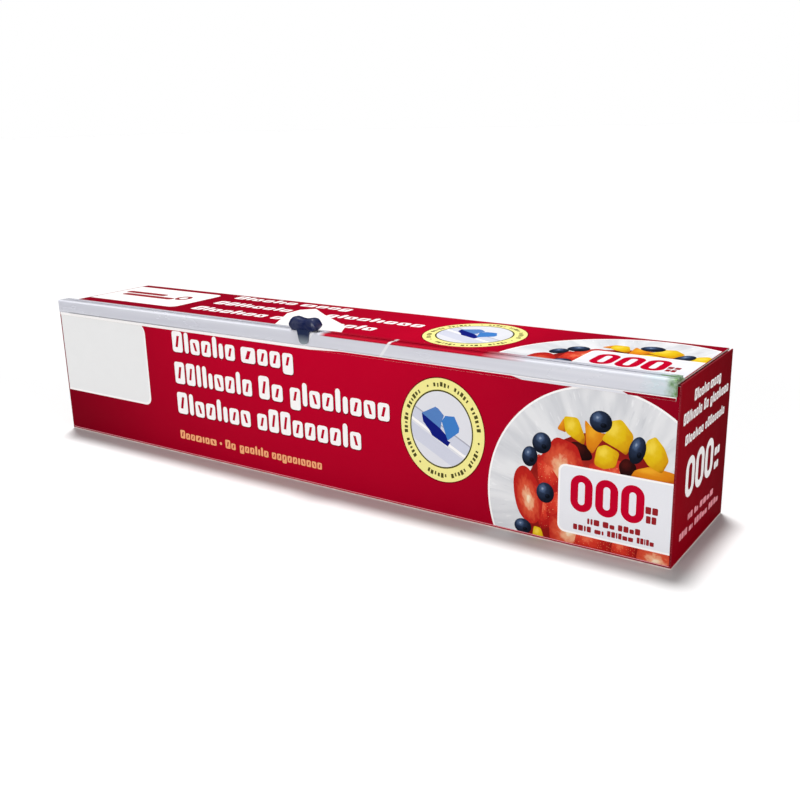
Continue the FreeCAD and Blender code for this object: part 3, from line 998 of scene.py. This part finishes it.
def cutter_picture(u, v, half_u, half_v):
    """Generic drawing of a slide cutter on its rail, inside an oval."""
    layers = []
    for ink, low, high in (("pale_rail", -0.10, 0.22), ("grey_line", -0.13, -0.09),
                           ("white", 0.22, 0.30), ("pale_rail", 0.36, 0.78)):
        outline = [(across, level + 0.46 * across)
                   for across, level in ((-1, low), (1, low), (1, high), (-1, high))]
        layers.append(Layer(ink, inside_oval(outline)))
    layers += [
        Layer("deep_blue", [(-0.42, 0.02), (0.30, 0.30), (0.22, 0.42), (-0.30, 0.20)]),
        Layer("deep_blue", [(-0.64, -0.36), (-0.02, -0.02), (0.18, 0.14), (0.22, 0.30),
                            (-0.02, 0.26), (-0.36, 0.10), (-0.60, -0.14)]),
        Layer("blue_top", [(-0.64, -0.36), (-0.18, -0.58), (-0.08, -0.54), (0.10, -0.38),
                           (0.02, -0.20), (-0.02, -0.02)]),
        Layer("blue", [(0.02, -0.22), (0.14, -0.38), (0.44, -0.40), (0.60, -0.12),
                       (0.58, 0.00), (0.22, 0.26), (0.16, 0.14)]),
    ]
    return moved(layers, u, v, half_u, half_v)


def inside_oval(outline, steps=16):
    """Points along an outline, drawn in where they leave a circle of radius 1."""
    result = []
    for (u0, v0), (u1, v1) in zip(outline, outline[1:] + outline[:1]):
        for step in range(steps):
            u = u0 + (u1 - u0) * step / steps
            v = v0 + (v1 - v0) * step / steps
            shrink = min(1.0, 0.995 / math.hypot(u, v))
            result.append((u * shrink, v * shrink))
    return result


def fruit_bowl():
    """A bowl of cut fruit under film, with (0, 0) at the middle of the bowl."""
    layers = [
        oval("white", 0, 0, 43.2, 43.7, points=120),
        oval("film", 0, 0, 42.5, 43.0, points=120),
        oval("berry_shade", 1.5, 4.0, 31.0, 31.0, points=48, wobble=0.03, phase=1.2),
        chunk("berry_red", [(-6, -16), (8, -20), (20, -8), (6, 2)]),
        chunk("berry_red", [(-24, -17), (-16, -13), (-11, -3), (-17, 0), (-23, -5)]),
        chunk("berry_red", [(-25, 1), (-18, -1), (-15, 8), (-22, 12)]),
        oval("gap", -8.0, -20.0, 4.6, 3.0, 15, wobble=0.05, phase=0.4),
        oval("gap", 9.0, -17.0, 3.0, 3.2, 10, wobble=0.05, phase=2.0),
        chunk("berry_red", [(-1, -13), (5, -14), (9, -2), (-4, -2)]),
        chunk("berry_cut", [(-17, -24), (-9, -22), (-6, -14), (-9, -6), (-12, -4), (-18, -12),
                            (-23, -15)], light_reach=1.1),
        oval("berry_cut", -27.2, -0.2, 5.4, 10.8, -12, wobble=0.02, phase=0.6),
        chunk("berry_red", [(-19, -2), (-14, -5), (-6, -4), (-4, 10), (-14, 11), (-20, 6)]),
        chunk("berry_cut", [(-19, 6), (-12, 2), (-3, 10), (-6, 17), (-18, 17)], light_reach=1.2),
        chunk("berry_red", [(-8, 9), (4, 8), (6, 18), (-10, 18)]),
        chunk("berry_red", [(5, 9), (13, 8), (14, 18), (4, 18)]),
        chunk("berry_cut", [(14, 9), (26, 8), (27, 18), (13, 18)], light_reach=1.3),
        chunk("mango_side", [(-16.6, -26.6), (-13.8, -31.4), (-13.0, -25.8)]),
        chunk("mango", [(-14.2, -31.6), (-8.8, -31.8), (-6.0, -24.8), (-6.6, -22.4),
                        (-13.4, -25.8)]),
        chunk("mango_side", [(-6.6, -31.8), (-2.8, -28.2), (1.6, -27.4), (-1.0, -24.0),
                             (-3.4, -19.8), (-5.6, -22.0)]),
        chunk("mango", [(2.6, -32.4), (6.4, -33.6), (11.0, -28.4), (8.6, -21.4), (5.6, -23.0),
                        (-0.4, -25.4), (1.6, -29.0)]),
        chunk("mango_side", [(-3.0, -16.2), (-1.8, -22.6), (5.8, -22.0), (5.0, -16.0)]),
        chunk("mango", [(-1.8, -22.6), (1.2, -24.0), (6.2, -22.0), (4.8, -16.6), (0.8, -15.2),
                        (-2.6, -16.2)]),
        chunk("mango_side", [(11.6, -17.0), (17.0, -19.2), (26, -18.0), (27, -14.0), (10, -14.0)]),
        chunk("mango", [(15.2, -27.8), (18.0, -29.6), (21.2, -26.0), (22.8, -22.0), (20.6, -17.2),
                        (16.0, -19.2), (13.6, -22.4)]),
        chunk("mango", [(-24.6, 11.0), (-21.8, 11.2), (-20.0, 16.4), (-25.2, 16.2)]),
    ]
    for u, v, half_u, half_v, turn in (
            (-0.8, -31.6, 4.0, 3.8, 0), (-22.1, -20.6, 3.6, 3.9, 20), (-26.6, -14.9, 3.0, 3.8, 10),
            (-20.4, -2.5, 3.4, 3.8, 0), (-28.9, 12.0, 3.4, 2.9, 0), (12.1, -23.8, 2.8, 4.9, 14)):
        layers.append(oval("berry", u, v, half_u, half_v, turn, points=28))
        layers.append(oval("berry_eye", u + 0.25 * half_u, v + 0.3 * half_v, 0.28 * half_u,
                           0.22 * half_v, turn, points=10))
    return layers


def quantity_plate(u0, v0, u1, v1):
    """Pale plate with three bold rings and small lines of print."""
    wide = u1 - u0
    tall = v1 - v0
    plate = [
        rounded("white", u0, v0, u1, v1, (2.8, 0, 0, 2.8)),
        rounded("plate", u0 + 0.7, v0 + 0.7, u1, v1 - 0.7, (2.2, 0, 0, 2.2)),
    ]
    rings = numeral_rings("red", "plate", u0 + 0.11 * wide, u0 + 0.738 * wide,
                          v0 + 0.12 * tall, v0 + 0.655 * tall, 0.35)
    small = words("brown_red", (0.382, 0.482, ("TT", 0.748, 0.85)),
                  (0.51, 0.614, ("TT", 0.756, 0.84)),
                  (0.725, 0.813, ("llT", 0.265, 0.37), ("Tx", 0.40, 0.50), ("hTxT", 0.53, 0.715)),
                  (0.845, 0.93, ("hTlh", 0.142, 0.30), ("mi", 0.33, 0.41),
                   ("hTlhmm", 0.44, 0.66), ("hTlhm", 0.69, 0.83)),
                  origin=(u0, v0), scale=(wide, tall))
    return plate + rings + small


# What is printed on each side ------------------------------------------

FOLD_IN = BOARD + 0.02       # the front's print starts low on its end folds
LID_IN = (LENGTH - (LID_HIGH.x - LID_LOW.x) / MM) / 2 + FOLD_RADIUS + EDGE_EASE
HEADLINES = (
    (("Tlxxlix", 0.0, 37.5), ("mxxp", 41.0, 69.5)),
    (("Thllixxlx", 0.0, 46.0), ("hx", 50.0, 63.0), ("plxxlixxx", 67.0, 116.5)),
    (("Tlxxlixx", 0.0, 44.0), ("xhhxxxxlx", 48.0, 102.5)))


def headlines(left, *levels):
    """The white lines of print, from a left edge, each between its top and its base."""
    rows = [(*level, *line) for level, line in zip(levels, HEADLINES)]
    return words("white", *rows, origin=(left, 0.0))


def print_lip():
    """The front's red and grey carried over the lower edge of the white lip, on the right."""
    lip_low, lip_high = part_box("lid_front_lip")
    lip_face = Side((CARTON_LOW.x, lip_low.y, CARTON_HIGH.z), RIGHTWARD, DOWNWARD)
    low = (CARTON_HIGH.z - lip_low.z) / MM - EDGE_EASE
    high = low - 0.9
    right = (lip_high.x - CARTON_LOW.x) / MM - EDGE_EASE
    artwork("lip_edge_print", lip_face, "lid", [
        Layer("front_red", [(156, low), (172, high), (246, high), (250, low)]),
        Layer("disc", [(250, low), (246, high), (286, high), (288, low)]),
        Layer("front_red", [(288, low), (286, high), (right, high), (right, low)])])


def print_front():
    right = LENGTH - FOLD_IN
    artwork("front_label_print", FRONT, "tray", [
        rounded("white", FOLD_IN, 4.8, 59.5, 43.2, (0, 4.6, 3.6, 0)),
        rounded("label", FOLD_IN, 4.8, 58.6, 42.2, (0, 4.0, 3.0, 0))])
    lines = headlines(77.0, (6.0, 15.5), (20.0, 30.0), (34.0, 44.0))
    artwork("front_headline_print", FRONT, "tray", shadowed(lines))
    small = words("orange", (52.0, 56.0, ("Txxmixm", 77.0, 99.5), ("Tx", 105.0, 111.0),
                             ("pxxlilx", 113.5, 130.0), ("xxpxxixxxx", 132.0, 159.0)))
    small.append(oval("orange", 102.2, 54.4, 0.7, 0.7, points=12))
    artwork("front_small_print", FRONT, "tray", small)
    artwork("front_roundel_print", FRONT, "tray", roundel(216.9, 29.6, 18.4, 20.5))
    picture = clip(moved(fruit_bowl(), 279.6, 48.0), (230.0, right), (4.9, 62.3))
    plate = clip(quantity_plate(264.1, 33.4, LENGTH + 1.0, 58.5), (0, right), (0, 63))
    artwork("front_fruit_print", FRONT, "tray", picture + plate)
    # Pale pink line along the bottom crease: a painted highlight where the fold rounds over.
    artwork("front_crease_painted_highlight", FRONT, "tray", [rounded("pink", FOLD_IN, 62.35, right, 62.6)])


def print_top():
    right = LENGTH - LID_IN
    artwork("top_label_print", TOP, "lid", [
        rounded("white", LID_IN, 5.0, 60.0, 38.5, (0, 3.5, 3.5, 0)),
        rounded("brown_red", 6.0, 16.0, 34.0, 20.0, 1.8),
        rounded("brown_red", 9.0, 21.5, 44.0, 25.5, 1.8),
        oval("brown_red", 47.5, 19.5, 4.0, 4.6),
        oval("white", 47.5, 19.5, 2.0, 2.4)])
    lines = headlines(70.0, (2.2, 8.8), (16.0, 23.0), (30.0, 37.5))
    start_patch = Layer("white", [(129, 46), (118, 25), (118, 16), (123, 11), (135, 20),
                                  (158, 35), (167, 51.5), (132, 51.5)])
    artwork("top_headline_print", TOP, "lid", lines + [start_patch])
    artwork("top_roundel_print", TOP, "lid", roundel(212.8, 24.2, 20.6, 21.8))
    picture = clip(moved(fruit_bowl(), 282.0, 49.5, 1.1, 1.08), (230.0, right), (1.0, 54.0))
    plate = clip(quantity_plate(263.0, 26.0, LENGTH, 54.0), (0, right), (0, 54.0))
    artwork("top_fruit_print", TOP, "lid", picture + plate)


def print_end(name, side):
    lines = words("white", (5.0, 9.0, ("Tlxxlix", 14.0, 29.5), ("mxxp", 31.0, 43.0)),
                  (11.0, 15.0, ("Thllixxlx", 4.0, 23.0), ("hx", 25.0, 30.0),
                   ("plxxlixxx", 32.0, 53.0)),
                  (19.0, 22.6, ("Tlxxlixx", 7.0, 26.0), ("xhhxxxxlx", 28.0, 50.0)))
    lines += numeral_rings("white", None, 10.0, 40.0, 28.0, 42.5, 0.31)
    lines += words("white", (33.5, 36.5, ("TT", 41.8, 47.6)), (39.0, 41.8, ("TT", 42.2, 47.0)))
    lines += words("pink", (49.0, 51.4, ("llT", 15, 20), ("Tx", 22, 26), ("hTxT", 28, 43)),
                   (53.6, 56.2, ("hTlh", 7, 15), ("mi", 17, 21), ("hTlhmm", 23, 37),
                    ("hTlhm", 39, 50)))
    artwork(name, side, "tray", lines)


def print_back():
    """A plain panel of small print, two headlines and the badge."""
    panel = [rounded("white", 14.0, 10.0, 112.0, 54.0, 3.0),
             rounded("label", 14.8, 10.8, 111.2, 53.2, 2.4)]
    for row in range(6):
        cap = 15.0 + 6.2 * row
        ragged = 2 * (row % 3)
        panel += words("brown_red", (cap, cap + 3.0, ("Txxlxxp", 19.0, 38.0 + ragged),
                                     ("xxlhxix", 42.0 + ragged, 66.0),
                                     ("xpxxlxh", 69.0, 88.0 + row)))
    artwork("back_panel_print", BACK, "tray", panel)
    lines = headlines(130.0, (14.0, 22.0))
    lines += words("white", (27.0, 34.0, *HEADLINES[1]), origin=(130.0, 0.0), scale=(0.85, 1.0))
    lines += words("orange", (41.0, 45.0, ("Txxmixm", 130.0, 152.0), ("pxxlilx", 156.0, 176.0),
                              ("xxpxxixxxx", 180.0, 210.0)))
    artwork("back_headline_print", BACK, "tray", lines)
    artwork("back_roundel_print", BACK, "tray", roundel(272.0, 32.0, 17.0, 19.0))


print_front()
print_lip()
print_top()
print_end("right_end_print", RIGHT)
print_end("left_end_print", LEFT)
print_back()

# Cutter rail and slide cutter ------------------------------------------


def finish_node(node, material, bevel=0.0):
    """Gives a CAD piece its material, and eases its edges where bevel is set."""
    piece = NODES[node]
    piece.data.materials.clear()
    piece.data.materials.append(material)
    if bevel:
        ease = piece.modifiers.new("eased edges", "BEVEL")
        ease.width = bevel * MM
        ease.segments = 2
        ease.limit_method = "ANGLE"
        ease.angle_limit = math.radians(40)


for node_name, node_material, node_bevel in (
        ("cutter_rail", CLEAR_RAIL, 0.0), ("rail_stop_left", CLEAR_STOP, 0.1),
        ("rail_stop_right", GREEN_STOP, 0.1), ("lid_tape", TAPE, 0.0), ("lip_tape", TAPE, 0.0),
        ("left_glue_beads", GLUE, 0.03), ("right_glue_beads", GLUE, 0.03),
        ("slider_shoe", NAVY, 0.06), ("slider_blade", STEEL, 0.05), ("roll_core", CORE, 0.15),
        ("start_tab", TAB, 0.02), ("lid_crease", INK["red"], 0.0)):
    finish_node(node_name, node_material, node_bevel)


GRIP_GAP = 0.25 * MM
UNDER_GRIP = RAIL_HIGH.z + GRIP_GAP
BEFORE_NOSE = RAIL_LOW.y - GRIP_GAP
SKIRT = 0.75 * MM            # how far the saddle's front edge hangs over the rail
GRIP_TO_LEFT = 0.2 * MM
LEG_TO_RIGHT = 0.5 * MM
LEG_HALF = 3.2 * MM
LEG_FOOT_HALF = 2.3 * MM
LEG_THICK = 0.5 * MM
LEG_SHOULDER = GRIP_LOW.z + 1.8 * MM
STEM_HALF = Vector((3.6, 0.65, 0.0)) * MM
GRIP_TOP = ((0.0, 0.88), (0.20, 0.90), (0.45, 0.97), (0.64, 1.0), (0.80, 0.96), (0.91, 0.84),
            (1.0, 0.62))
GRIP_FOOT = ((0.0, 0.0), (0.66, 0.0), (0.82, 0.05), (0.92, 0.16), (1.0, 0.30))


def between(points, at):
    """Value at a place along a broken line of (place, value) points."""
    for (first, low), (second, high) in zip(points, points[1:]):
        if at <= second:
            return low + (high - low) * (at - first) / (second - first)
    return points[-1][1]


def signed_power(value, power):
    return math.copysign(abs(value) ** power, value)


def add_saddle(bm, middle, columns=44, around=36):
    """Saddle: raised ends, a pinched waist, and a front edge that hangs over the rail."""
    half_length = 0.97 * (GRIP_HIGH.x - GRIP_LOW.x) / 2
    half_depth = (GRIP_HIGH.y - GRIP_LOW.y) / 2
    height = GRIP_HIGH.z - UNDER_GRIP
    rings = []
    for column in range(columns + 1):
        s = math.sin(math.pi * (column / columns - 0.5))
        top = height * between(GRIP_TOP, abs(s))
        foot = height * between(GRIP_FOOT, abs(s))
        depth = half_depth * (0.84 + 0.16 * s * s) * (1 - 0.22 * max(abs(s) - 0.75, 0) / 0.25)
        ring = []
        for step in range(around):
            t = 2 * math.pi * step / around
            level = signed_power(math.sin(t), 0.6)
            y = middle.y + signed_power(math.cos(t), 0.55) * depth * (1 - 0.14 * max(level, 0))
            drop = SKIRT if y < BEFORE_NOSE and level < 0 else 0.0
            z = UNDER_GRIP + foot + (top - foot) * (level + 1) / 2 + drop * level
            ring.append(bm.verts.new((middle.x - GRIP_TO_LEFT + s * half_length, y, z)))
        rings.append(ring)
    for first, second in zip(rings, rings[1:]):
        join_rings(bm, first, second)
    bm.faces.new(rings[0][::-1])
    bm.faces.new(rings[-1])


def add_stem(bm, middle):
    """Plain block through the rail's slot, from the shoe up into the saddle."""
    blade_low, blade_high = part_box("slider_blade")
    slot_y = (blade_low.y + blade_high.y) / 2
    low = Vector((middle.x, slot_y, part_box("slider_shoe")[1].z)) - STEM_HALF
    high = Vector((middle.x, slot_y, UNDER_GRIP + 0.5 * MM)) + STEM_HALF
    place = Matrix.Translation((low + high) / 2) @ Matrix.Diagonal((*(high - low), 1.0))
    bmesh.ops.create_cube(bm, size=1.0, matrix=place)


def add_leg(bm, middle, slot, turns=16):
    """Thin leg that narrows to a rounded lower end, in front of the rail's nose."""
    high = UNDER_GRIP + 0.6 * MM
    outline = [(-LEG_HALF, high), (-LEG_FOOT_HALF, LEG_SHOULDER)]
    for step in range(1, turns):
        t = math.pi * step / turns
        outline.append((-LEG_FOOT_HALF * math.cos(t),
                        LEG_SHOULDER - (LEG_SHOULDER - GRIP_LOW.z) * math.sin(t)))
    outline += [(LEG_FOOT_HALF, LEG_SHOULDER), (LEG_HALF, high)]
    fronts, backs = ([bm.verts.new((middle.x + LEG_TO_RIGHT + x, y, z)) for x, z in outline]
                     for y in (BEFORE_NOSE - LEG_THICK, BEFORE_NOSE))
    sides = [bm.faces.new(fronts), bm.faces.new(backs[::-1]), *join_rings(bm, backs, fronts)]
    for side in sides:
        side.material_index = slot


def make_grip():
    """Grip: a saddle on a stem, with a leg in front."""
    middle = (GRIP_LOW + GRIP_HIGH) / 2
    bm = bmesh.new()
    add_saddle(bm, middle)
    add_stem(bm, middle)
    add_leg(bm, middle, 1)
    bmesh.ops.recalc_face_normals(bm, faces=bm.faces)
    mesh = finished_mesh(bm, "slider_grip_saddle", (NAVY, NAVY_PAINTED_FOOT))
    smooth(mesh, 50)
    add_piece("slider_grip_saddle", mesh, "slider", "navy_plastic", "slider_grip")


make_grip()

# Film roll -------------------------------------------------------------


def lathe_x(profile, axis_z, segments=160):
    """Mesh turned about a line along X from (x, radius) points of a closed profile."""
    bm = bmesh.new()
    rings = []
    for step in range(segments):
        angle = 2 * math.pi * step / segments
        rings.append([bm.verts.new((x, radius * math.cos(angle),
                                    axis_z + radius * math.sin(angle)))
                      for x, radius in profile])
    for first, second in zip(rings, rings[1:] + rings[:1]):
        join_rings(bm, first, second)
    bmesh.ops.recalc_face_normals(bm, faces=bm.faces)
    return bm


def make_film_roll(end_steps=22, side_steps=60):
    """Wound film: faintly uneven along its length, with stepped layers at the ends."""
    half = ROLL_HIGH.x
    outer = (ROLL_HIGH.z - ROLL_LOW.z) / 2
    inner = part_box("roll_core")[1].y + 0.02 * MM
    right_end = []
    for step in range(end_steps + 1):
        ripple = 0.18 * math.sin(step * 2.4) + 0.12 * math.sin(step * 5.1 + 1.0)
        right_end.append((half - (0.35 + ripple) * MM, inner + (outer - inner) * step / end_steps))
    shoulder = half - 0.6 * MM
    outside = []
    for step in range(1, side_steps):
        dip = 0.05 * (1 + math.sin(step * 0.9)) + 0.03 * (1 + math.sin(step * 2.3 + 0.5))
        outside.append((shoulder - 2 * shoulder * step / side_steps, outer - dip * MM))
    left_end = [(-x, radius) for x, radius in reversed(right_end)]
    bm = lathe_x(right_end + outside + left_end, ROLL_AXIS)
    mesh = finished_mesh(bm, "film_roll_wound", (FILM,))
    smooth(mesh, 60)
    add_piece("film_roll_wound", mesh, "roll", "cling_film", "film_roll")


make_film_roll()

# Floor and light -------------------------------------------------------

FLOOR_HALF = 12.0
FLOOR_SEEN = (0.76, 0.76, 0.76, 1.0)
FLOOR_BOUNCE = (0.34, 0.34, 0.34, 1.0)
FLOOR_MIRRORED = (0.04, 0.04, 0.04, 1.0)
SKY_HIGH = 0.32


def make_floor():
    """White sweep: bright to the eye, but little of it lights or mirrors in the carton."""
    mesh = bpy.data.meshes.new("floor")
    corners = [(x * FLOOR_HALF, y * FLOOR_HALF, 0) for x, y in ((-1, -1), (1, -1), (1, 1), (-1, 1))]
    mesh.from_pydata(corners, [], [(0, 1, 2, 3)])
    maker = Maker("floor_white")
    path = maker.node("LightPath")
    lit = maker.mix(path.outputs["Is Glossy Ray"], FLOOR_BOUNCE, FLOOR_MIRRORED)
    maker.shade(base_color=maker.mix(path.outputs["Is Camera Ray"], lit, FLOOR_SEEN),
                roughness=0.9, specular_ior_level=0.0)
    mesh.materials.append(maker.material)
    new_object("floor", mesh)


def make_sun(name, toward, spread, level):
    """Distant soft light; a level of 1 lights a surface that faces it like full daylight."""
    light = new_object(name, bpy.data.lights.new(name, "SUN"))
    light.data.angle = math.radians(spread)
    light.data.energy = math.pi * level
    light.rotation_mode = "QUATERNION"
    light.rotation_quaternion = (-Vector(toward)).to_track_quat("-Z", "Y")


def make_world():
    """White surroundings, which light the carton mostly from above."""
    world = bpy.data.worlds.new("studio")
    world.use_nodes = True
    maker = Nodes(world.node_tree)
    rise = maker.axes(maker.node("TexCoord").outputs["Generated"])[2]
    lit = maker.times(maker.times(rise, rise), SKY_HIGH)
    seen = maker.node("LightPath").outputs["Is Camera Ray"]
    strength = maker.node("Mix", {"Factor": seen, "A": lit, "B": 1.0}).outputs["Result"]
    background = maker.tree.nodes["Background"]
    background.inputs["Color"].default_value = (1, 1, 1, 1)
    maker.put(background.inputs["Strength"], strength)
    bpy.context.scene.world = world


make_floor()
make_world()
make_sun("overhead", (-0.13, 0.14, 1.0), 9.0, 1.08)
make_sun("front", (-0.10, -1.0, 0.11), 24.0, 0.80)
make_sun("right", (1.0, -0.15, 0.11), 24.0, 0.76)
bpy.context.scene.view_settings.view_transform = "Standard"
